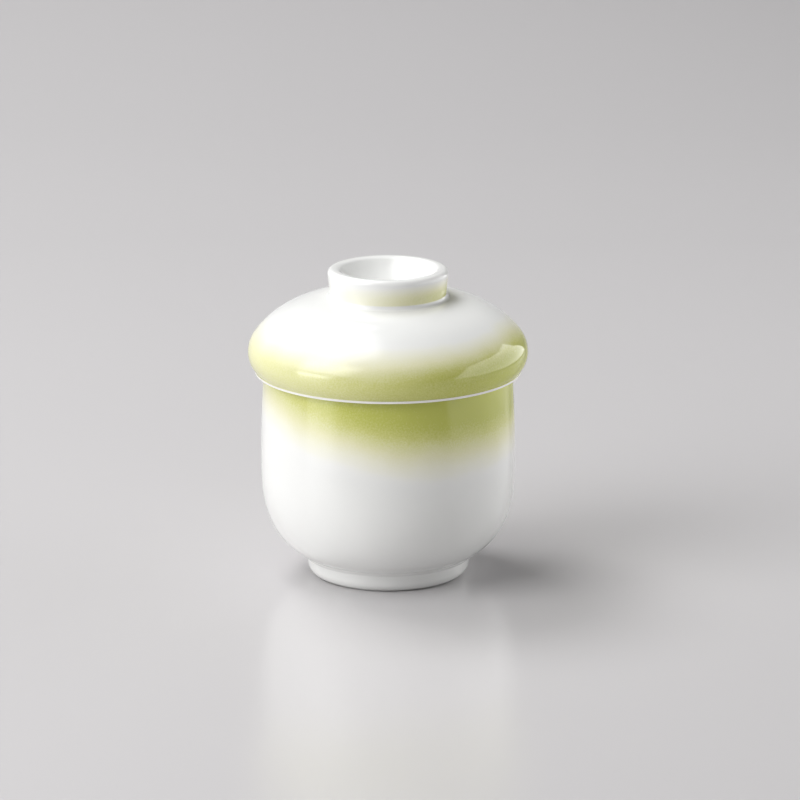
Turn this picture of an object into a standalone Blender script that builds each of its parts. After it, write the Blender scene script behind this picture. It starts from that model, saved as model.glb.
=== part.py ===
"""Lidded cup for steamed egg custard, in glazed white porcelain sprayed yellow-green.

Two fired pieces. The cup is a barrel on a tapered foot ring. The lid is a domed cap: its skirt drops
over the cup's mouth, a flat seat inside it lands on the cup's rim, and a flared ring on top is the
knob. Both are turned shapes about +Z. Metres, with the origin at the middle of the standing face.
"""

import math

import bpy
from mathutils import Vector

MM = 0.001

# Cup body
CUP_HEIGHT = 68.0 * MM  # standing face to the rim
BELLY_RADIUS = 36.4 * MM  # widest outer radius
BELLY_HEIGHT = 34.5 * MM  # height of the widest circle
MOUTH_RADIUS = 35.0 * MM  # outer radius at the rim
CUP_WALL = 3.3 * MM  # wall at the belly
LIP_WALL = 2.9 * MM  # wall at the rim
LIP_ROUND = 1.0 * MM  # rounding of both edges of the rim
CUP_FLOOR = 4.0 * MM  # floor above the foot's recess
HAUNCH_POWER = 2.9  # 2 would be an ellipse, more is squarer

# Foot ring
FOOT_HEIGHT = 5.8 * MM  # standing face to where the body leaves the ring
FOOT_RADIUS = 22.7 * MM  # outer radius at the standing face, before its edge is rounded
FOOT_FLARE = 0.9 * MM  # how much wider the ring is at the body
FOOT_WIDTH = 5.0 * MM  # width of the ring at the standing face, before its edges are rounded
FOOT_EDGE = 3.3 * MM  # rounding of the outer standing edge
FOOT_INNER_EDGE = 0.7 * MM  # rounding of the inner standing edge
FOOT_FILLET = 1.3 * MM  # hollow corner between ring and body
RECESS_DEPTH = 4.4 * MM  # hollow inside the ring
RECESS_FILLET = 1.5 * MM  # hollow corner at the top of the recess

# Fit of lid on cup
SEAT_GAP = 0.3 * MM  # between the rim and the lid's seat
SKIRT_CLEARANCE = 0.75 * MM  # between the cup's wall and the skirt, on the radius

# Lid
BELT_DROP = 3.0 * MM  # seat down to the lid's widest circle
SKIRT_DEPTH = 8.7 * MM  # seat down to the skirt's lower edge
SKIRT_WALL = 3.64 * MM  # skirt at the widest circle
SKIRT_EDGE_WALL = 1.7 * MM  # skirt at its lower edge
SKIRT_BAND = 0.9 * MM  # upright band at the lower edge, left without glaze
SKIRT_BAND_FILLET = 0.3 * MM  # hollow corner above the band
SKIRT_ROUND = 0.3 * MM  # rounding of the lower outer edge
BORE_ROUND = 0.7 * MM  # rounding of the lower inner edge
SHOULDER_RADIUS = 8.6 * MM  # curve above the widest circle
CROWN_RISE = 15.95 * MM  # widest circle to the top of the dome
LID_WALL = 3.3 * MM  # dome
SEAT_SETBACK = 0.2 * MM  # the seat's inner edge outside the cup's inner wall
SEAT_FILLET = 0.8 * MM  # hollow corner between skirt and seat
SEAT_NOSE = 0.5 * MM  # rounding of the seat's inner edge
DOME_FILLET = 1.6 * MM  # hollow corner where the seat's riser meets the dome

# Knob ring
KNOB_HEIGHT = 8.45 * MM  # top of the dome to the ring's top
KNOB_RADIUS = 17.35 * MM  # outer radius at the top
KNOB_FLARE = 0.85 * MM  # how much wider the ring is at the top than at the dome
KNOB_LIP = 2.2 * MM  # width of the ring's top, without its inner rounding
KNOB_ROUND = 1.5 * MM  # rounding of the top's outer edge
KNOB_INNER_ROUND = 2.0 * MM  # rounding of the top's inner edge
KNOB_FILLET = 1.2 * MM  # hollow corner between ring and dome
KNOB_FLOOR = 4.3 * MM  # thickness of the lid under the dish

# Glaze
CUP_COLOUR = (0.80, 0.81, 0.70)
LID_COLOUR = (0.74, 0.77, 0.52)
GLAZE_ROUGHNESS = 0.12

# Fineness of the turned surfaces
TURN_STEPS = 64
CURVE_STEPS = 9
WALL_STEPS = 3
ARC_STEPS = 5
FILLET_STEPS = 3
FILLET_REACH = 0.9  # the most of a side that an arc may take
AXIS_MERGE = 0.01 * MM  # points this near the axis are joined on it


def wall_radius(height, belly, mouth):
    """Radius of the barrel wall at a height above the belly: a parabola that closes in to the mouth."""
    rise = (height - BELLY_HEIGHT) / (CUP_HEIGHT - BELLY_HEIGHT)
    return belly - (belly - mouth) * rise**2


def wall_points(belly, mouth):
    """The barrel wall between belly and rim, upwards, without its two ends."""
    heights = [
        BELLY_HEIGHT + (CUP_HEIGHT - BELLY_HEIGHT) * step / WALL_STEPS for step in range(1, WALL_STEPS)
    ]
    return [Vector((wall_radius(height, belly, mouth), height)) for height in heights]


def power_curve(rim, drop, power, inner_radius=0.0):
    """A bowl's side from its upright edge at `rim`, inwards and down to `inner_radius`.

    At radius zero the curve lies level, `drop` below the edge.
    """
    last = math.acos((inner_radius / rim.x) ** (power / 2))
    angles = [last * step / CURVE_STEPS for step in range(CURVE_STEPS + 1)]
    return [
        Vector(
            (
                rim.x * max(math.cos(angle), 0.0) ** (2 / power),
                rim.y - drop * math.sin(angle) ** (2 / power),
            )
        )
        for angle in angles
    ]


def arc(centre, radius, start, end):
    """Points round a centre, from one angle to another."""
    angles = [start + (end - start) * step / ARC_STEPS for step in range(ARC_STEPS + 1)]
    return [centre + radius * Vector((math.cos(angle), math.sin(angle))) for angle in angles]


def fillet(before, corner, after, radius):
    """An arc that rounds a corner, made smaller where a side is too short for it."""
    back = before - corner
    ahead = after - corner
    half = back.angle(ahead) / 2
    reach = min(radius / math.tan(half), FILLET_REACH * back.length, FILLET_REACH * ahead.length)
    radius = reach * math.tan(half)
    back.normalize()
    ahead.normalize()
    centre = corner + (back + ahead).normalized() * (radius / math.sin(half))
    first = corner + reach * back - centre
    last = corner + reach * ahead - centre
    return [centre + radius * first.slerp(last, step / FILLET_STEPS) for step in range(FILLET_STEPS + 1)]


def rounded(start, corners, end):
    """The arcs along a run of (corner, radius) between two points, which are left out."""
    points = [start]
    following = [corner for corner, radius in corners[1:]] + [end]
    for (corner, radius), after in zip(corners, following):
        points += fillet(points[-1], corner, after, radius)
    return points[1:]


def cup_profile():
    """Inside of the floor, up the inner wall, over the rim, down the outside and under the foot."""
    inner_belly = Vector((BELLY_RADIUS - CUP_WALL, BELLY_HEIGHT))
    inner_depth = BELLY_HEIGHT - RECESS_DEPTH - CUP_FLOOR
    inside = power_curve(inner_belly, inner_depth, HAUNCH_POWER)[::-1]
    inside += wall_points(inner_belly.x, MOUTH_RADIUS - LIP_WALL)

    # The outer haunch is the curve that meets the foot ring at its neck.
    neck = Vector((FOOT_RADIUS + FOOT_FLARE, FOOT_HEIGHT))
    share = 1 - (neck.x / BELLY_RADIUS) ** HAUNCH_POWER
    outer_depth = (BELLY_HEIGHT - FOOT_HEIGHT) / share ** (1 / HAUNCH_POWER)
    outer_belly = Vector((BELLY_RADIUS, BELLY_HEIGHT))
    outside = wall_points(BELLY_RADIUS, MOUTH_RADIUS)[::-1]
    outside += power_curve(outer_belly, outer_depth, HAUNCH_POWER, neck.x)[:-1]

    rim_corners = [
        (Vector((MOUTH_RADIUS - LIP_WALL, CUP_HEIGHT)), LIP_ROUND),
        (Vector((MOUTH_RADIUS, CUP_HEIGHT)), LIP_ROUND),
    ]
    rim = rounded(inside[-1], rim_corners, outside[0])

    recess_radius = FOOT_RADIUS - FOOT_WIDTH
    recess_centre = Vector((0.0, RECESS_DEPTH))
    foot_corners = [
        (neck, FOOT_FILLET),
        (Vector((FOOT_RADIUS, 0.0)), FOOT_EDGE),
        (Vector((recess_radius, 0.0)), FOOT_INNER_EDGE),
        (Vector((recess_radius, RECESS_DEPTH)), RECESS_FILLET),
    ]
    foot = rounded(outside[-1], foot_corners, recess_centre)
    return inside + rim + outside + foot + [recess_centre]


def lid_profile():
    """Dish of the knob, its ring, the dome and skirt, then the seat and the underside.

    Heights are above the seat, which is the lid's own origin.
    """
    # The bore clears the widest part of the cup that the skirt covers.
    skirt_foot = CUP_HEIGHT + SEAT_GAP - SKIRT_DEPTH
    covered_radius = max(wall_radius(skirt_foot, BELLY_RADIUS, MOUTH_RADIUS), MOUTH_RADIUS)
    bore = covered_radius + SKIRT_CLEARANCE
    lid_radius = bore + SKIRT_WALL
    crown_top = CROWN_RISE - BELT_DROP
    knob_top = crown_top + KNOB_HEIGHT
    ceiling = crown_top - LID_WALL

    # The crown's arc is level at the knob and runs smoothly into the shoulder's.
    neck_radius = KNOB_RADIUS - KNOB_FLARE
    span = lid_radius - SHOULDER_RADIUS - neck_radius
    crown_radius = (span**2 + CROWN_RISE**2 - SHOULDER_RADIUS**2) / (2 * (CROWN_RISE - SHOULDER_RADIUS))
    crown_centre = Vector((neck_radius, crown_top - crown_radius))
    shoulder_centre = Vector((lid_radius - SHOULDER_RADIUS, -BELT_DROP))
    meet = math.asin((shoulder_centre.y - crown_centre.y) / (crown_radius - SHOULDER_RADIUS))
    crown = arc(crown_centre, crown_radius, math.pi / 2, meet)
    shoulder = arc(shoulder_centre, SHOULDER_RADIUS, meet, 0.0)

    # The tuck's arc is upright at the widest circle and ends at the band on the skirt's lower edge.
    band_top = Vector((bore + SKIRT_EDGE_WALL, SKIRT_BAND - SKIRT_DEPTH))
    tuck_inset = lid_radius - band_top.x
    tuck_height = -BELT_DROP - band_top.y
    tuck_radius = (tuck_inset**2 + tuck_height**2) / (2 * tuck_inset)
    tuck_centre = Vector((lid_radius - tuck_radius, -BELT_DROP))
    tuck = arc(tuck_centre, tuck_radius, 0.0, -math.asin(tuck_height / tuck_radius))

    # The ceiling's arc keeps the dome's wall even, down to the riser at the seat's inner edge.
    seat_radius = MOUTH_RADIUS - LIP_WALL + SEAT_SETBACK
    ceiling_radius = crown_radius - LID_WALL
    ceiling_end = math.acos((seat_radius - crown_centre.x) / ceiling_radius)
    dome = arc(crown_centre, ceiling_radius, ceiling_end, math.pi / 2)

    # The dish's arc is level at the axis and runs smoothly into the lip's.
    lip_inner = Vector((KNOB_RADIUS - KNOB_LIP, knob_top))
    dish_floor = ceiling + KNOB_FLOOR
    dish_depth = knob_top - dish_floor
    dish_radius = (lip_inner.x**2 + dish_depth**2) / (2 * dish_depth) - KNOB_INNER_ROUND
    slope = math.asin(lip_inner.x / (dish_radius + KNOB_INNER_ROUND))
    down = -math.pi / 2
    dish = arc(Vector((0.0, dish_floor + dish_radius)), dish_radius, down, down + slope)
    lip_centre = lip_inner - Vector((0.0, KNOB_INNER_ROUND))
    dish += arc(lip_centre, KNOB_INNER_ROUND, slope - down, -down)[1:]
    knob_corners = [(Vector((KNOB_RADIUS, knob_top)), KNOB_ROUND), (crown[0], KNOB_FILLET)]
    knob = rounded(dish[-1], knob_corners, crown[1])

    skirt_corners = [
        (band_top, SKIRT_BAND_FILLET),
        (Vector((band_top.x, -SKIRT_DEPTH)), SKIRT_ROUND),
        (Vector((bore, -SKIRT_DEPTH)), BORE_ROUND),
        (Vector((bore, 0.0)), SEAT_FILLET),
        (Vector((seat_radius, 0.0)), SEAT_NOSE),
        (dome[0], DOME_FILLET),
    ]
    skirt = rounded(tuck[-2], skirt_corners, dome[1])
    underside = dome[1:] + [Vector((0.0, ceiling))]
    return dish + knob + crown[1:-1] + shoulder + tuck[1:-1] + skirt + underside


def glaze(name, colour):
    """Clear glossy glaze over a sprayed colour."""
    material = bpy.data.materials.new(name)
    material.use_nodes = True
    shader = material.node_tree.nodes["Principled BSDF"]
    shader.inputs["Base Color"].default_value = (*colour, 1.0)
    shader.inputs["Roughness"].default_value = GLAZE_ROUGHNESS
    shader.inputs["Metallic"].default_value = 0.0
    return material


def turned(name, profile, material, collection):
    """A piece turned about its own Z from a profile of (radius, height) points."""
    mesh = bpy.data.meshes.new(name)
    edges = [(point, point + 1) for point in range(len(profile) - 1)]
    mesh.from_pydata([(point.x, 0.0, point.y) for point in profile], edges, [])
    mesh.materials.append(material)
    piece = bpy.data.objects.new(name, mesh)
    collection.objects.link(piece)
    turn = piece.modifiers.new("Turn", "SCREW")
    turn.axis = "Z"
    turn.angle = math.tau
    turn.steps = TURN_STEPS
    turn.render_steps = TURN_STEPS
    turn.use_merge_vertices = True
    turn.merge_threshold = AXIS_MERGE
    turn.use_smooth_shade = True
    return piece


def main():
    for old in list(bpy.data.objects):
        bpy.data.objects.remove(old)
    collection = bpy.data.collections.new("lidded_custard_cup")
    bpy.context.scene.collection.children.link(collection)

    cup = turned("cup", cup_profile(), glaze("cup_glaze", CUP_COLOUR), collection)

    lift = bpy.data.objects.new("lid_lift", None)
    lift.location.z = CUP_HEIGHT + SEAT_GAP
    lift.parent = cup
    collection.objects.link(lift)
    lid = turned("lid", lid_profile(), glaze("lid_glaze", LID_COLOUR), collection)
    lid.parent = lift


main()
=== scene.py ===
"""Looks of a lidded custard cup: white porcelain, sprayed yellow-green and clear glazed.

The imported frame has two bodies, cup and lid. Each CAD node is replaced here by a finely turned mesh
of the same shape, dressed as porcelain, in a plain studio. Metres, +Z up, with the lid at rest.
"""

import logging
import math
from dataclasses import dataclass, field
from enum import Enum

import bpy
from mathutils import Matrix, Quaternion, Vector
from mathutils.kdtree import KDTree


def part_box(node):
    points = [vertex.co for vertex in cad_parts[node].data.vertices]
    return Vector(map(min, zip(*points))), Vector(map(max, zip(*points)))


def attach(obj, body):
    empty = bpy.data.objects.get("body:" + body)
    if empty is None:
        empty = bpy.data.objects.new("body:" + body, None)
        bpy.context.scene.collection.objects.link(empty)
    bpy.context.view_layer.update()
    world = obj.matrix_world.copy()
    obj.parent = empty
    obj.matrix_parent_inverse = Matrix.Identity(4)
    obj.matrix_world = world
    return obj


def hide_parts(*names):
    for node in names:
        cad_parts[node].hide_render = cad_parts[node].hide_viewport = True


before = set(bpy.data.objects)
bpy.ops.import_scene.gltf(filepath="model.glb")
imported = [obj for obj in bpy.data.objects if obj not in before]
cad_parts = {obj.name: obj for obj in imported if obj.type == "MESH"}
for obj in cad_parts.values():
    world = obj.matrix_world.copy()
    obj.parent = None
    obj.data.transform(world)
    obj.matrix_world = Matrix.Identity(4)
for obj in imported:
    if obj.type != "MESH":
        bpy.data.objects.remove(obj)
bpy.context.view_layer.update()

LOG = logging.getLogger("custard_cup")
MM = 0.001
ARC_TURN = math.radians(5.0)  # the most that one step of an arc turns
ARC_STEPS = 2  # the fewest steps of an arc
FILLET_REACH = 0.9  # the most of a side that a rounded corner may take
MIX_FIRST, MIX_SECOND, MIX_RESULT = 6, 7, 2  # the sockets of a Mix node that take and give colours

Tree = bpy.types.NodeTree
Socket = bpy.types.NodeSocket
Term = float | Socket


class Coat(Enum):
    """What covers a stretch of a turned surface; the value is its material slot."""

    SPRAYED = 0
    PLAIN = 1
    BARE = 2


class Panel(Enum):
    """Outline of a lamp's lit panel; the value is Blender's name for it."""

    OBLONG = "RECTANGLE"
    ROUND = "ELLIPSE"


def linear(colour: str) -> tuple[float, float, float, float]:
    """Turn an sRGB hex colour into linear light.

    Args:
        colour: six hex digits after a hash sign.

    Returns:
        Red, green, blue and a full alpha.
    """
    shares = [int(colour[digit : digit + 2], 16) / 255 for digit in (1, 3, 5)]
    # The curve of the sRGB standard: straight near black, then a power.
    red, green, blue = [
        share / 12.92 if share <= 0.04045 else ((share + 0.055) / 1.055) ** 2.4 for share in shares
    ]
    return red, green, blue, 1.0


def add_node(
    tree: Tree, kind: str, inputs: dict[str | int, object], **settings: object
) -> bpy.types.Node:
    """Add a shader node with its settings, and set or link its inputs.

    Args:
        tree: the node tree that gets the node.
        kind: Blender's name for the node, without its ShaderNode prefix.
        inputs: a constant or another node's output for each socket, by name or number.
        settings: the node's own options.

    Returns:
        The new node.
    """
    made = tree.nodes.new("ShaderNode" + kind)
    for option, value in settings.items():
        setattr(made, option, value)
    for socket, value in inputs.items():
        if isinstance(value, Socket):
            tree.links.new(value, made.inputs[socket])
        else:
            made.inputs[socket].default_value = value
    return made


def compute(tree: Tree, operation: str, *terms: Term) -> Socket:
    """Add a Math node that works on constants or other nodes' outputs, and give its output."""
    return add_node(tree, "Math", dict(enumerate(terms)), operation=operation).outputs[0]


def map_range(
    tree: Tree,
    value: Socket,
    given: tuple[float, float] = (0.0, 1.0),
    wanted: tuple[float, Term] = (0.0, 1.0),
    smooth: bool = False,
) -> Socket:
    """Move a value from one range to another, held at its ends.

    Args:
        tree: the node tree that gets the node.
        value: the socket with the value.
        given: the range that the value runs through.
        wanted: the range that it is moved to.
        smooth: whether it eases in and out at the ends.

    Returns:
        The socket with the result.
    """
    made = add_node(
        tree,
        "MapRange",
        {
            "Value": value,
            "From Min": given[0],
            "From Max": given[1],
            "To Min": wanted[0],
            "To Max": wanted[1],
        },
        interpolation_type="SMOOTHSTEP" if smooth else "LINEAR",
    )
    return made.outputs["Result"]


def noise(tree: Tree, place: Socket, size: float, octaves: float) -> Socket:
    """Add noise in patches of about a size, with finer layers over them, and give its output."""
    made = add_node(tree, "TexNoise", {"Vector": place, "Scale": 1 / size, "Detail": octaves})
    return made.outputs["Fac"]


def mix_colours(tree: Tree, share: Socket, first: object, second: object) -> Socket:
    """Mix two colours, or sockets with colours, by the second one's share, and give the output."""
    inputs = {"Factor": share, MIX_FIRST: first, MIX_SECOND: second}
    return add_node(tree, "Mix", inputs, data_type="RGBA").outputs[MIX_RESULT]


def new_material(name: str) -> tuple[bpy.types.Material, Tree, bpy.types.Node]:
    """Start a material.

    Args:
        name: the material's name.

    Returns:
        The material, its node tree and its Principled BSDF.
    """
    made = bpy.data.materials.new(name)
    made.use_nodes = True
    return made, made.node_tree, made.node_tree.nodes["Principled BSDF"]


def straight(start: Vector, end: Vector, steps: int) -> list[Vector]:
    """Lay points along a straight line in equal steps, with its end but without its start."""
    return [start.lerp(end, step / steps) for step in range(1, steps + 1)]


def arc(centre: Vector, radius: float, start: float, end: float) -> list[Vector]:
    """Lay points round a centre.

    Args:
        centre: the arc's centre.
        radius: its radius.
        start: angle of the first point.
        end: angle of the last point.

    Returns:
        The points, both ends among them.
    """
    steps = max(ARC_STEPS, math.ceil(abs(end - start) / ARC_TURN))
    angles = [start + (end - start) * step / steps for step in range(steps + 1)]
    return [centre + radius * Vector((math.cos(angle), math.sin(angle))) for angle in angles]


def fillet(before: Vector, corner: Vector, after: Vector, radius: float) -> list[Vector]:
    """Round a corner with an arc, made smaller where a side is too short for it.

    Args:
        before: the point that the profile comes from.
        corner: the sharp corner.
        after: the point that the profile goes on to.
        radius: the arc's radius.

    Returns:
        The arc's points in order.
    """
    back = before - corner
    ahead = after - corner
    half = back.angle(ahead) / 2
    reach = min(radius / math.tan(half), FILLET_REACH * back.length, FILLET_REACH * ahead.length)
    radius = reach * math.tan(half)
    back.normalize()
    ahead.normalize()
    centre = corner + (back + ahead).normalized() * (radius / math.sin(half))
    first = corner + reach * back - centre
    last = corner + reach * ahead - centre
    steps = max(ARC_STEPS, math.ceil(first.angle(last) / ARC_TURN))
    return [centre + radius * first.slerp(last, step / steps) for step in range(steps + 1)]


def bowl_side(rim: Vector, drop: float, power: float, steps: int, inner: float = 0.0) -> list[Vector]:
    """Draw a bowl's side from its upright edge inwards and down.

    Args:
        rim: the edge, where the side stands upright.
        drop: how far below the edge the curve would lie level, at radius zero.
        power: 2 gives an ellipse, more is squarer.
        steps: number of steps.
        inner: radius at which the curve stops.

    Returns:
        The points from the edge on.
    """
    last = math.acos((inner / rim.x) ** (power / 2))
    angles = [last * step / steps for step in range(steps + 1)]
    return [
        Vector(
            (
                rim.x * max(math.cos(angle), 0.0) ** (2 / power),
                rim.y - drop * math.sin(angle) ** (2 / power),
            )
        )
        for angle in angles
    ]


@dataclass(frozen=True)
class SprayBand:
    """A band of colour blown on by airbrush, which fades out along its height.

    Heights are in the frame at rest. The film is densest at `dense`, and gone at `clear`. Past `dense`
    it goes on to `wiped`, where it was sponged off. `strength` is the film at its densest, 1 being the
    thickest on this ware, and `slant` is the share by which it grows for each metre along X. `lean`
    tips the band's edge: its rise for each metre along X and Y. `bow` lifts the edge on both sides: its
    rise for each square metre of X. Slant and lean thin the film on the left, where the key light
    falls, and thicken it on the right: partly uneven spraying, partly painted light, the lit side's
    washed-out paleness and the shaded side's depth.
    """

    dense: float
    clear: float
    wiped: float
    strength: float
    slant: float
    lean: tuple[float, float]
    bow: float
    wiped_blur: float = 0.5 * MM
    cloud: float = 14.0 * MM  # size of the uneven patches that strokes of the airbrush leave
    cloud_drift: float = 1.6 * MM  # how far they push the fade up or down
    droplet: float = 0.45 * MM  # real droplets are about 0.1 mm; drawn coarser to show in the render
    grain: float = 0.16  # share by which droplets vary the film

    def film(self, tree: Tree, place: Socket) -> Socket:
        """Add the nodes that give the film's thickness.

        Args:
            tree: the material's node tree.
            place: the socket with Object coordinates.

        Returns:
            The socket with the thickness, which is about `strength` where the film is densest.
        """
        along = add_node(tree, "SeparateXYZ", {"Vector": place}).outputs
        # Tip and slant make the film thinner on the lit left and thicker on the shaded right: partly
        # uneven spraying, partly painted light.
        tip = (-self.lean[0], -self.lean[1], 1.0)
        tipped = add_node(tree, "VectorMath", {0: place, 1: tip}, operation="DOT_PRODUCT")
        square = compute(tree, "MULTIPLY", along["X"], along["X"])
        height = compute(tree, "MULTIPLY_ADD", square, -self.bow, tipped.outputs["Value"])
        densest = compute(tree, "MULTIPLY_ADD", along["X"], self.strength * self.slant, self.strength)

        clouds = noise(tree, place, self.cloud, octaves=2.0)
        drift = map_range(tree, clouds, wanted=(-self.cloud_drift, self.cloud_drift))
        edge = compute(tree, "ADD", height, drift)
        fade = map_range(tree, edge, (self.clear, self.dense), (0.0, densest), smooth=True)
        across = math.copysign(self.wiped_blur, self.dense - self.wiped)
        kept = map_range(tree, along["Z"], (self.wiped, self.wiped + across), smooth=True)
        droplets = noise(tree, place, self.droplet, octaves=1.0)
        grain = map_range(tree, droplets, wanted=(1 - self.grain, 1 + self.grain))
        return compute(tree, "MULTIPLY", compute(tree, "MULTIPLY", fade, kept), grain)


@dataclass(frozen=True)
class GlazedPorcelain:
    """White porcelain under a clear gloss glaze, with or without sprayed colour under the glaze.

    The body is a clean, slightly cool white. The sprayed film reads cream where it is thin and
    yellow-green where it is thick. The fired glaze is smooth as glass, with a faint swell that only
    its reflections show.
    """

    body: str = "#EDEDEB"
    shade: str = "#E6E7E5"
    films: tuple[tuple[float, str], ...] = (
        (0.27, "#EAE9D6"),
        (0.49, "#E3E1BB"),
        (0.69, "#D7D79C"),
        (0.82, "#CBCC7E"),
        (1.0, "#BABE5C"),
    )
    hiding: float = 0.125  # a film this thick hides the body's own shades
    ior: float = 1.5
    smoothest: float = 0.06
    roughest: float = 0.11
    mottle: float = 22.0 * MM  # size of the faint shades in the body
    swell: float = 9.0 * MM  # size of the glaze's swell
    swell_depth: float = 0.02 * MM

    def material(self, name: str, bands: tuple[SprayBand, ...]) -> bpy.types.Material:
        """Make the material.

        Args:
            name: the material's name.
            bands: the sprayed bands, if any.

        Returns:
            The material.
        """
        made, tree, shader = new_material(name)
        shader.inputs["IOR"].default_value = self.ior
        place = add_node(tree, "TexCoord", {}).outputs["Object"]
        patches = noise(tree, place, self.mottle, octaves=3.0)
        colour = mix_colours(tree, patches, linear(self.body), linear(self.shade))
        for band in bands:
            colour = self._sprayed(tree, colour, band.film(tree, place))
        tree.links.new(colour, shader.inputs["Base Color"])

        polish = map_range(tree, patches, wanted=(self.smoothest, self.roughest))
        tree.links.new(polish, shader.inputs["Roughness"])
        waves = noise(tree, place, self.swell, octaves=1.0)
        bump = add_node(tree, "Bump", {"Height": waves, "Distance": self.swell_depth})
        tree.links.new(bump.outputs["Normal"], shader.inputs["Normal"])
        return made

    def _sprayed(self, tree: Tree, under: Socket, film: Socket) -> Socket:
        """Lay a sprayed film over a colour.

        Args:
            tree: the material's node tree.
            under: the colour below the film.
            film: the film's thickness.

        Returns:
            The socket with the colour that shows.
        """
        ramp = add_node(tree, "ValToRGB", {"Fac": film})
        stops = ramp.color_ramp.elements
        thickest, deepest = self.films[-1]
        stops[0].color = linear(self.body)
        stops[1].position = thickest
        stops[1].color = linear(deepest)
        for thickness, colour in self.films[:-1]:
            stops.new(thickness).color = linear(colour)
        cover = map_range(tree, film, given=(0.0, self.hiding))
        return mix_colours(tree, cover, under, ramp.outputs["Color"])


@dataclass(frozen=True)
class BareBiscuit:
    """Fired porcelain left without glaze where it stood in the kiln: chalky white, with fine grit."""

    pale: str = "#FAF9F5"
    dusty: str = "#F0EEE8"
    roughness: float = 0.7
    grit: float = 0.35 * MM  # real grit is finer; drawn coarser to show in the render
    grit_depth: float = 0.03 * MM

    def material(self, name: str) -> bpy.types.Material:
        """Make the material.

        Args:
            name: the material's name.

        Returns:
            The material.
        """
        made, tree, shader = new_material(name)
        shader.inputs["Roughness"].default_value = self.roughness
        place = add_node(tree, "TexCoord", {}).outputs["Object"]
        grit = noise(tree, place, self.grit, octaves=2.0)
        colour = mix_colours(tree, grit, linear(self.pale), linear(self.dusty))
        tree.links.new(colour, shader.inputs["Base Color"])
        bump = add_node(tree, "Bump", {"Height": grit, "Distance": self.grit_depth})
        tree.links.new(bump.outputs["Normal"], shader.inputs["Normal"])
        return made


# A stretch of a profile: its coat and its points.
Run = tuple[Coat, list[Vector]]


@dataclass
class TurnedPiece:
    """A piece turned about the upright axis from a profile of (radius, height) points.

    Profiles run with the material on their right: out along what faces up, down the outside, and back
    to the axis along what faces down.
    """

    name: str
    node: str
    slot: str
    turns: int = 160  # steps round the axis
    seed: float = 1.0 * MM  # size of the plane that the profile is drawn from
    merge: float = 0.002 * MM  # points this near each other are one
    piece: bpy.types.Object = field(init=False)

    def profile(self) -> list[Run]:
        """Give the profile as stretches, each with its coat."""
        raise NotImplementedError

    def build(self) -> None:
        """Draw the profile by extruding one point along it, spin it, and mark each face's coat."""
        runs = self.profile()
        points = [point for _, run in runs for point in run]
        bpy.ops.object.select_all(action="DESELECT")
        bpy.ops.mesh.primitive_plane_add(size=self.seed, location=(points[0].x, 0.0, points[0].y))
        self.piece = bpy.context.active_object
        self.piece.name = self.name
        bpy.ops.object.transform_apply(location=True, rotation=True, scale=True)
        bpy.ops.object.mode_set(mode="EDIT")
        bpy.ops.mesh.select_all(action="SELECT")
        bpy.ops.mesh.merge(type="CENTER")
        for here, there in zip(points, points[1:]):
            move = (there.x - here.x, 0.0, there.y - here.y)
            bpy.ops.mesh.extrude_region_move(TRANSFORM_OT_translate={"value": move})
        bpy.ops.mesh.select_all(action="SELECT")
        bpy.ops.mesh.spin(steps=self.turns, angle=math.tau, center=(0, 0, 0), axis=(0, 0, 1))
        bpy.ops.mesh.select_all(action="SELECT")
        bpy.ops.mesh.remove_doubles(threshold=self.merge)
        bpy.ops.mesh.normals_make_consistent(inside=False)
        bpy.ops.object.mode_set(mode="OBJECT")
        bpy.ops.object.shade_smooth()
        self._mark_coats(runs)
        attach(self.piece, self.node)
        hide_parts(self.node)

    def _mark_coats(self, runs: list[Run]) -> None:
        """Give each face the material slot of the profile's stretch that it was spun from.

        Args:
            runs: the profile's stretches.
        """
        middles = []
        previous = None
        for coat, run in runs:
            for point in run:
                if previous is not None:
                    middles.append((coat, (previous + point) / 2))
                previous = point
        nearest = KDTree(len(middles))
        for number, (_, middle) in enumerate(middles):
            nearest.insert((middle.x, 0.0, middle.y), number)
        nearest.balance()
        for polygon in self.piece.data.polygons:
            centre = polygon.center
            _, number, _ = nearest.find((math.hypot(centre.x, centre.y), 0.0, centre.z))
            polygon.material_index = middles[number][0].value

    def dress(self, coats: dict[Coat, bpy.types.Material]) -> None:
        """Fill the material slots.

        Args:
            coats: the material of each coat.
        """
        for coat in Coat:
            self.piece.data.materials.append(coats[coat])
        low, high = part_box(self.node)
        LOG.info(
            "%s: %d faces, stands for %s from %.1f to %.1f mm",
            self.name,
            len(self.piece.data.polygons),
            self.node,
            low.z / MM,
            high.z / MM,
        )


def glaze_stop(points: list[Vector], at: int, roll: float) -> tuple[list[Vector], list[Vector]]:
    """Split a stretch where its glaze ends, with the glaze's edge standing proud of the bare body.

    Args:
        points: the stretch.
        at: number of the point where the glaze ends.
        roll: how proud its edge is.

    Returns:
        The glazed points and the bare ones.
    """
    along = (points[at + 1] - points[at - 1]).normalized()
    outwards = Vector((-along.y, along.x))
    return points[:at] + [points[at] + roll * outwards], points[at:]


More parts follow.
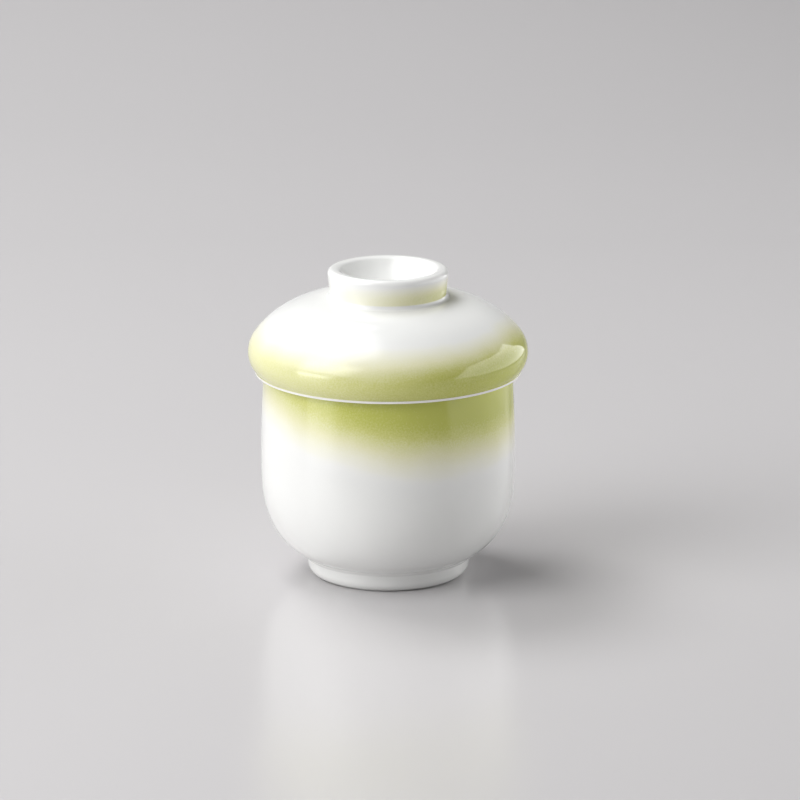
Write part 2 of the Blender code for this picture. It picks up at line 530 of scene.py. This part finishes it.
@dataclass
class Cup(TurnedPiece):
    """The cup: a barrel with a drawn-in mouth, on a foot ring with a rounded edge."""

    name: str = "porcelain_cup"
    node: str = "cup"
    slot: str = "cup_glaze"
    height: float = 68.0 * MM
    belly_radius: float = 36.4 * MM
    belly_height: float = 34.5 * MM
    mouth_radius: float = 35.0 * MM
    wall: float = 3.3 * MM
    lip_wall: float = 2.9 * MM
    lip_round: float = 1.0 * MM
    floor: float = 4.0 * MM
    haunch_power: float = 2.9
    foot_height: float = 5.8 * MM
    foot_radius: float = 22.7 * MM
    foot_flare: float = 0.9 * MM
    foot_width: float = 5.0 * MM
    foot_edge: float = 3.3 * MM
    foot_inner_edge: float = 0.7 * MM
    pool: float = 0.7 * MM  # reach of the glaze that pooled in the corner above the foot, either way
    pool_swell: float = 0.05 * MM
    pool_crease: float = 0.25 * MM
    recess_depth: float = 4.4 * MM
    recess_fillet: float = 1.5 * MM
    glaze_roll: float = 0.1 * MM
    bare_steps: int = 5  # steps of the foot's rounded edge that have no glaze
    curve_steps: int = 36
    wall_steps: int = 14
    floor_steps: int = 6

    def wall_radius(self, height: float, belly: float, mouth: float) -> float:
        """Give the wall's radius at a height: a parabola from the belly's radius to the mouth's."""
        rise = (height - self.belly_height) / (self.height - self.belly_height)
        return belly - (belly - mouth) * rise**2

    def _wall(self, belly: float, mouth: float) -> list[Vector]:
        """Lay the wall's points from belly to rim, without the two ends.

        Args:
            belly: radius at the belly.
            mouth: radius at the rim.

        Returns:
            The points, upwards.
        """
        rise = (self.height - self.belly_height) / self.wall_steps
        heights = [self.belly_height + rise * step for step in range(1, self.wall_steps)]
        return [Vector((self.wall_radius(height, belly, mouth), height)) for height in heights]

    def profile(self) -> list[Run]:
        """Draw the inside, the rim, the outside and the foot.

        Returns:
            The profile as stretches, each with its coat.
        """
        inner_belly = Vector((self.belly_radius - self.wall, self.belly_height))
        inner_mouth = self.mouth_radius - self.lip_wall
        inner_depth = self.belly_height - self.recess_depth - self.floor
        inside = bowl_side(inner_belly, inner_depth, self.haunch_power, self.curve_steps)[::-1]
        inside += self._wall(inner_belly.x, inner_mouth)

        # The outer haunch is the curve that meets the foot ring at its neck.
        neck = Vector((self.foot_radius + self.foot_flare, self.foot_height))
        share = 1 - (neck.x / self.belly_radius) ** self.haunch_power
        outer_depth = (self.belly_height - self.foot_height) / share ** (1 / self.haunch_power)
        outer_belly = Vector((self.belly_radius, self.belly_height))
        outside = self._wall(self.belly_radius, self.mouth_radius)[::-1]
        outside += bowl_side(outer_belly, outer_depth, self.haunch_power, self.curve_steps, neck.x)[:-2]

        lip_inner = Vector((inner_mouth, self.height))
        lip_outer = Vector((self.mouth_radius, self.height))
        rim = fillet(inside[-1], lip_inner, lip_outer, self.lip_round)
        rim += fillet(rim[-1], lip_outer, outside[0], self.lip_round)

        edge = Vector((self.foot_radius, 0.0))
        inner_edge = Vector((self.foot_radius - self.foot_width, 0.0))
        recess = Vector((inner_edge.x, self.recess_depth))
        recess_middle = Vector((0.0, self.recess_depth))

        # Glaze pooled in the corner above the foot: a narrow band with a faint crease on either side.
        pool_top = neck + self.pool * (outside[-1] - neck).normalized()
        pool_foot = neck + self.pool * (edge - neck).normalized()
        pool_middle = (pool_top + pool_foot) / 2
        pool_middle += self.pool_swell * (pool_middle - neck).normalized()
        foot = fillet(outside[-1], pool_top, pool_middle, self.pool_crease) + [pool_middle]
        foot += fillet(pool_middle, pool_foot, edge, self.pool_crease)
        foot += fillet(foot[-1], edge, inner_edge, self.foot_edge)
        glazed_foot, land = glaze_stop(foot, len(foot) - self.bare_steps, self.glaze_roll)
        inner_side = fillet(foot[-1], inner_edge, recess, self.foot_inner_edge)
        hollow = fillet(inner_side[-1], recess, recess_middle, self.recess_fillet)
        hollow += straight(hollow[-1], recess_middle, self.floor_steps)
        return [
            (Coat.PLAIN, inside + rim),
            (Coat.SPRAYED, outside + glazed_foot),
            (Coat.BARE, land + inner_side),
            (Coat.PLAIN, hollow),
        ]


@dataclass
class Lid(TurnedPiece):
    """The lid: a domed cap whose skirt drops over the cup's mouth, with a ring knob on top."""

    name: str = "porcelain_lid"
    node: str = "lid"
    slot: str = "lid_glaze"
    cup: Cup = field(default_factory=Cup)
    seat_gap: float = 0.3 * MM
    skirt_clearance: float = 0.75 * MM
    belt_drop: float = 3.0 * MM
    skirt_depth: float = 8.7 * MM
    skirt_wall: float = 3.64 * MM
    skirt_edge_wall: float = 1.7 * MM
    skirt_band: float = 0.9 * MM
    skirt_band_fillet: float = 0.3 * MM
    glaze_lap: float = 0.15 * MM  # how far the glaze runs down onto the band
    skirt_round: float = 0.3 * MM
    bore_round: float = 0.7 * MM
    shoulder_radius: float = 8.6 * MM
    crown_rise: float = 15.95 * MM
    wall: float = 3.3 * MM
    seat_setback: float = 0.2 * MM
    seat_fillet: float = 0.8 * MM
    seat_nose: float = 0.5 * MM
    dome_fillet: float = 1.6 * MM
    knob_height: float = 8.45 * MM
    knob_radius: float = 17.35 * MM
    knob_flare: float = 0.85 * MM
    knob_lip: float = 2.2 * MM
    knob_round: float = 1.5 * MM
    knob_inner_round: float = 2.0 * MM
    knob_fillet: float = 1.2 * MM
    knob_floor: float = 4.3 * MM
    glaze_roll: float = 0.08 * MM
    wall_steps: int = 4
    seat_steps: int = 3
    ceiling_steps: int = 8

    def profile(self) -> list[Run]:
        """Draw the dish and lip, the outside, the skirt's edge and the underside.

        Returns:
            The profile as stretches, each with its coat.
        """
        cup = self.cup
        seat = cup.height + self.seat_gap
        skirt_foot = seat - self.skirt_depth
        covered = max(cup.wall_radius(skirt_foot, cup.belly_radius, cup.mouth_radius), cup.mouth_radius)
        bore = covered + self.skirt_clearance
        lid_radius = bore + self.skirt_wall
        belt = seat - self.belt_drop
        crown_top = belt + self.crown_rise
        knob_top = crown_top + self.knob_height
        ceiling = crown_top - self.wall

        # The crown's arc is level at the knob and runs smoothly into the shoulder's.
        neck_radius = self.knob_radius - self.knob_flare
        shoulder = self.shoulder_radius
        span = lid_radius - shoulder - neck_radius
        crown_radius = (span**2 + self.crown_rise**2 - shoulder**2) / (2 * (self.crown_rise - shoulder))
        crown_centre = Vector((neck_radius, crown_top - crown_radius))
        shoulder_centre = Vector((lid_radius - shoulder, belt))
        meet = math.asin((belt - crown_centre.y) / (crown_radius - shoulder))
        dome = arc(crown_centre, crown_radius, math.pi / 2, meet)
        dome += arc(shoulder_centre, shoulder, meet, 0.0)[1:]

        # The tuck's arc is upright at the widest circle and ends at the band on the skirt's lower edge.
        band_top = Vector((bore + self.skirt_edge_wall, skirt_foot + self.skirt_band))
        inset = lid_radius - band_top.x
        fall = belt - band_top.y
        tuck_radius = (inset**2 + fall**2) / (2 * inset)
        tuck_centre = Vector((lid_radius - tuck_radius, belt))
        tuck = arc(tuck_centre, tuck_radius, 0.0, -math.asin(fall / tuck_radius))

        # The ceiling's arc keeps the dome's wall even, down to the riser at the seat's inner edge.
        seat_radius = cup.mouth_radius - cup.lip_wall + self.seat_setback
        ceiling_radius = crown_radius - self.wall
        ceiling_end = math.acos((seat_radius - crown_centre.x) / ceiling_radius)
        vault = arc(crown_centre, ceiling_radius, ceiling_end, math.pi / 2)

        # The dish's arc is level at the axis and runs smoothly into the lip's.
        lip_inner = Vector((self.knob_radius - self.knob_lip, knob_top))
        lip_outer = Vector((self.knob_radius, knob_top))
        dish_floor = ceiling + self.knob_floor
        dish_depth = knob_top - dish_floor
        lip_round = self.knob_inner_round
        dish_radius = (lip_inner.x**2 + dish_depth**2) / (2 * dish_depth) - lip_round
        slope = math.asin(lip_inner.x / (dish_radius + lip_round))
        down = -math.pi / 2
        dish = arc(Vector((0.0, dish_floor + dish_radius)), dish_radius, down, down + slope)
        lip = arc(lip_inner - Vector((0.0, lip_round)), lip_round, slope - down, -down)[1:]
        lip += fillet(lip[-1], lip_outer, dome[0], self.knob_round)
        base = fillet(lip[-1], dome[0], dome[1], self.knob_fillet)
        knob_side = straight(lip[-1], base[0], self.wall_steps)

        band_foot = Vector((band_top.x, skirt_foot))
        bore_edge = Vector((bore, skirt_foot))
        bore_top = Vector((bore, seat))
        seat_edge = Vector((seat_radius, seat))
        band = fillet(tuck[-2], band_top, band_foot, self.skirt_band_fillet)
        band.append(band_top - Vector((0.0, self.glaze_lap)))
        edge = fillet(band[-1], band_foot, bore_edge, self.skirt_round)
        glazed_edge, land = glaze_stop(tuck[-2:-1] + band + edge, len(band), self.glaze_roll)
        land += fillet(land[-1], bore_edge, bore_top, self.bore_round)
        seat_corner = fillet(land[-1], bore_top, seat_edge, self.seat_fillet)
        under = straight(land[-1], seat_corner[0], self.wall_steps) + seat_corner[1:]
        nose = fillet(under[-1], seat_edge, vault[0], self.seat_nose)
        under += straight(under[-1], nose[0], self.seat_steps) + nose[1:]
        under += fillet(under[-1], vault[0], vault[1], self.dome_fillet) + vault[1:]
        under += straight(vault[-1], Vector((0.0, ceiling)), self.ceiling_steps)
        return [
            (Coat.PLAIN, dish + lip),
            (Coat.SPRAYED, knob_side + base[1:] + dome[1:] + tuck[1:-2] + glazed_edge),
            (Coat.BARE, land),
            (Coat.PLAIN, under),
        ]


@dataclass(frozen=True)
class Softbox:
    """A lit white panel that faces the cup: where it stands, its size, and how bright it looks.

    The azimuth is 0 towards the camera and grows to the right. A brightness of 1 is that of a white
    surface at the edge of clipping. `tilt` leans the panel's top back from facing the cup, and `panel`
    is its outline. `fades` are the shares of the panel over which its light falls off at the left,
    right, lower and upper edge, as seen from behind it.
    """

    name: str
    azimuth: float
    elevation: float
    distance: float
    width: float
    height: float
    brightness: float
    tilt: float = 0.0
    panel: Panel = Panel.OBLONG
    fades: tuple[float, float, float, float] = (0.02, 0.02, 0.02, 0.02)
    target: tuple[float, float, float] = (0.0, 0.0, 0.05)

    def build(self) -> None:
        """Place the lamp, out of the camera's sight."""
        lamp = bpy.data.lights.new(self.name, "AREA")
        lamp.shape = self.panel.value
        lamp.size = self.width
        lamp.size_y = self.height
        lit = self.width * self.height * (math.pi / 4 if self.panel is Panel.ROUND else 1.0)
        lamp.energy = self.brightness * math.pi * lit
        self._fade(lamp)
        stand = bpy.data.objects.new(self.name, lamp)
        turn = math.radians(self.azimuth)
        rise = math.radians(self.elevation)
        away = Vector(
            (math.sin(turn) * math.cos(rise), -math.cos(turn) * math.cos(rise), math.sin(rise))
        )
        stand.location = Vector(self.target) + self.distance * away
        facing = away.to_track_quat("Z", "Y") @ Quaternion((1.0, 0.0, 0.0), math.radians(self.tilt))
        stand.rotation_euler = facing.to_euler()
        stand.visible_camera = False
        bpy.context.scene.collection.objects.link(stand)

    def _fade(self, lamp: bpy.types.Light) -> None:
        """Let the light fall off towards the panel's edges.

        Args:
            lamp: the panel's lamp.
        """
        lamp.use_nodes = True
        tree = lamp.node_tree
        place = add_node(tree, "NewGeometry", {}).outputs["Parametric"]
        across = add_node(tree, "SeparateXYZ", {"Vector": place}).outputs
        left, right, lower, upper = self.fades
        light = map_range(tree, across["X"], (0.0, left), smooth=True)
        for axis, edge, inside in (("X", 1.0, 1.0 - right), ("Y", 0.0, lower), ("Y", 1.0, 1.0 - upper)):
            share = map_range(tree, across[axis], (edge, inside), smooth=True)
            light = compute(tree, "MULTIPLY", light, share)
        tree.links.new(light, tree.nodes["Emission"].inputs["Strength"])


@dataclass
class Studio:
    """A plain studio: a pale grey sweep that curves up behind, soft light from the left, a camera."""

    sweep_width: float = 7.0
    sweep_front: float = 3.0
    sweep_back: float = 0.42  # where the sweep starts to curve up
    sweep_curve: float = 1.8
    sweep_rise: float = 0.4  # upright part above the curve
    sweep_colour: str = "#CBC9CA"
    sweep_roughness: float = 0.22
    sweep_ior: float = 1.45
    room: float = 0.04  # brightness of the room around
    room_colour: str = "#FFFFFF"
    aim: tuple[float, float, float] = (0.0034, 0.0, 0.0508)
    distance: float = 1.5
    pitch: float = math.radians(14.8)
    lens: float = 236.0  # in millimetres, like the sensor
    sensor: float = 36.0
    boxes: tuple[Softbox, ...] = (
        Softbox(
            "key",
            azimuth=-56,
            elevation=32.5,
            distance=1.25,
            width=1.4,
            height=1.3,
            brightness=5.05,
            panel=Panel.ROUND,
            fades=(0.35, 0.35, 0.35, 0.35),
        ),
        Softbox(
            "strip",
            azimuth=-60,
            elevation=5.5,
            distance=1.2,
            width=0.8,
            height=0.32,
            brightness=6.5,
            fades=(0.1, 0.4, 0.05, 0.5),
        ),
        Softbox(
            "rear",
            azimuth=-138,
            elevation=55,
            distance=1.2,
            width=0.8,
            height=0.7,
            brightness=9.2,
            fades=(0.3, 0.3, 0.3, 0.3),
        ),
        Softbox(
            "overhead",
            azimuth=-86,
            elevation=70,
            distance=1.3,
            width=1.2,
            height=1.0,
            brightness=3.2,
            fades=(0.3, 0.3, 0.3, 0.3),
        ),
        Softbox(
            "card",
            azimuth=100,
            elevation=18.8,
            distance=0.71,
            width=1.0,
            height=0.71,
            brightness=2.5,
            tilt=58,
        ),
    )
    sweep: bpy.types.Object = field(init=False)

    def build(self) -> None:
        """Make the sweep, the lamps and the camera."""
        bpy.ops.object.select_all(action="DESELECT")
        bpy.ops.mesh.primitive_plane_add(size=1.0)
        self.sweep = bpy.context.active_object
        self.sweep.name = "sweep"
        length = self.sweep_front + self.sweep_back
        self.sweep.scale = (self.sweep_width, length, 1.0)
        self.sweep.location.y = self.sweep_back - length / 2
        bpy.ops.object.transform_apply(location=True, rotation=True, scale=True)
        bpy.ops.object.mode_set(mode="EDIT")
        bpy.ops.mesh.select_mode(type="VERT")
        bpy.ops.mesh.select_all(action="DESELECT")
        bpy.ops.object.mode_set(mode="OBJECT")
        for vertex in self.sweep.data.vertices:
            vertex.select = vertex.co.y > 0.0
        bpy.ops.object.mode_set(mode="EDIT")
        curve = arc(Vector((self.sweep_back, self.sweep_curve)), self.sweep_curve, -math.pi / 2, 0.0)
        curve.append(curve[-1] + Vector((0.0, self.sweep_rise)))
        for here, there in zip(curve, curve[1:]):
            move = (0.0, there.x - here.x, there.y - here.y)
            bpy.ops.mesh.extrude_region_move(TRANSFORM_OT_translate={"value": move})
        bpy.ops.object.mode_set(mode="OBJECT")
        bpy.ops.object.shade_smooth()
        for box in self.boxes:
            box.build()
        self._camera()
        LOG.info("studio: sweep, %d lamps and camera", len(self.boxes))

    def _camera(self) -> None:
        """Place the camera at the photograph's viewing angle."""
        lens = bpy.data.cameras.new("camera")
        lens.lens = self.lens
        lens.sensor_width = self.sensor
        camera = bpy.data.objects.new("camera", lens)
        back = Vector((0.0, -math.cos(self.pitch), math.sin(self.pitch)))
        camera.location = Vector(self.aim) + self.distance * back
        camera.rotation_euler = back.to_track_quat("Z", "Y").to_euler()
        bpy.context.scene.collection.objects.link(camera)
        bpy.context.scene.camera = camera

    def dress(self) -> None:
        """Give the sweep its finish and the room its even grey."""
        made, _, shader = new_material("satin_sheet")
        shader.inputs["Base Color"].default_value = linear(self.sweep_colour)
        shader.inputs["Roughness"].default_value = self.sweep_roughness
        shader.inputs["IOR"].default_value = self.sweep_ior
        self.sweep.data.materials.append(made)
        world = bpy.data.worlds.new("room")
        world.use_nodes = True
        background = world.node_tree.nodes["Background"]
        background.inputs["Strength"].default_value = self.room
        background.inputs["Color"].default_value = linear(self.room_colour)
        bpy.context.scene.world = world
        bpy.context.scene.view_settings.view_transform = "Standard"


# The bow thins this band's film at the cup's left and right sides, as seen from the camera: painted
# reflection, the paleness that the glaze's reflections give there.
CUP_BAND = SprayBand(
    dense=57.2 * MM,
    clear=35.2 * MM,
    wiped=67.0 * MM,
    strength=1.0,
    slant=3.0,
    lean=(-0.143, 0.034),
    bow=3.3,
)
SHOULDER_BAND = SprayBand(
    dense=64.0 * MM,
    clear=75.5 * MM,
    wiped=55.0 * MM,
    strength=0.82,
    slant=7.0,
    lean=(0.02, -0.02),
    bow=1.6,
)
# The knob's film grows steeply towards the right and is nearly gone on the lit left: partly uneven
# spraying, partly painted light, the lit side's paleness and the shaded side's deeper tint.
KNOB_BAND = SprayBand(
    dense=83.6 * MM,
    clear=89.0 * MM,
    wiped=82.1 * MM,
    strength=0.4,
    slant=50.0,
    lean=(0.0, 0.0),
    bow=0.0,
    cloud_drift=0.3 * MM,
)


def main() -> None:
    """Build and dress the cup and the lid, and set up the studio."""
    logging.basicConfig(level=logging.INFO, format="%(name)s %(message)s")
    porcelain = GlazedPorcelain()
    plain = porcelain.material("clear_glazed_porcelain", ())
    bare = BareBiscuit().material("bare_porcelain_biscuit")

    cup = Cup()
    cup.build()
    cup.dress(
        {
            Coat.SPRAYED: porcelain.material("sprayed_cup_porcelain", (CUP_BAND,)),
            Coat.PLAIN: plain,
            Coat.BARE: bare,
        }
    )
    lid = Lid(cup=cup)
    lid.build()
    lid.dress(
        {
            Coat.SPRAYED: porcelain.material("sprayed_lid_porcelain", (SHOULDER_BAND, KNOB_BAND)),
            Coat.PLAIN: plain,
            Coat.BARE: bare,
        }
    )
    studio = Studio()
    studio.build()
    studio.dress()


if __name__ == "__main__":
    main()
